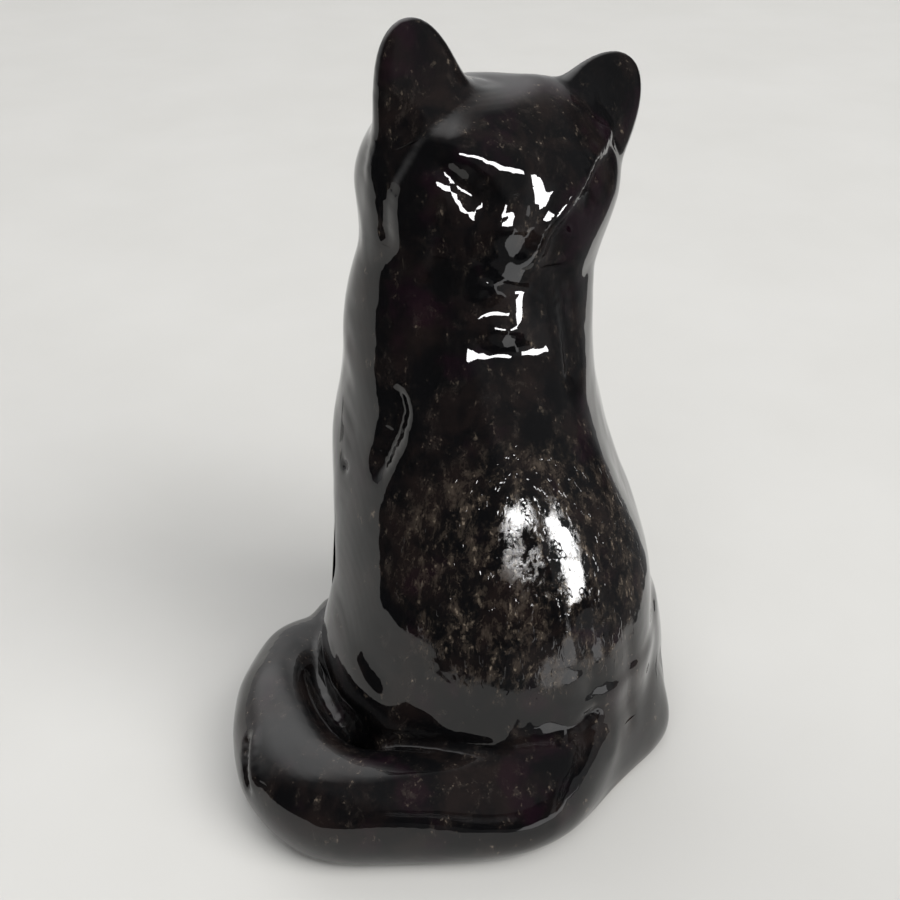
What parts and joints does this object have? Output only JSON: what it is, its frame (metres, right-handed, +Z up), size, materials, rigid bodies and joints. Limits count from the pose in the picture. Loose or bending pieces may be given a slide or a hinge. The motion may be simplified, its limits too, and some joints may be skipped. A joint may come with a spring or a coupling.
{
  "type": "ceramic cat figurine",
  "caption": "Seated hand-built cat figurine in glossy black glaze, hollow body and head, tail curled round the base; stands free on a flat base.",
  "frame": {"origin": "centre of the object's box in plan, on the surface that it stands on", "axes": "+Z up, -Y the way the cat faces, +X the cat's own left, the side that the tail curls round"},
  "size_m": [0.097, 0.0896, 0.1509],
  "materials": {
    "black_glaze": "very glossy black glaze over mottled dark brown and grey",
    "eye_glaze": "glossy muted olive-amber glaze with a dark slit pupil",
    "nose_glaze": "satin dark brown glaze",
    "bisque": "matt unglazed fired clay"
  },
  "bodies": {
    "root": {"torso": "black_glaze", "floor_slab": "bisque", "head": "black_glaze", "ear_left": "black_glaze", "ear_right": "black_glaze", "muzzle": "black_glaze", "nose": "nose_glaze", "eye_left": "eye_glaze", "eye_right": "eye_glaze", "upper_arm_left": "black_glaze", "upper_arm_right": "black_glaze", "foreleg_left": "black_glaze", "foreleg_right": "black_glaze", "front_paw_left": "black_glaze", "front_paw_right": "black_glaze", "haunch_left": "black_glaze", "haunch_right": "black_glaze", "hind_paw_left": "black_glaze", "hind_paw_right": "black_glaze", "tail": "black_glaze"}
  },
  "joints": []
}
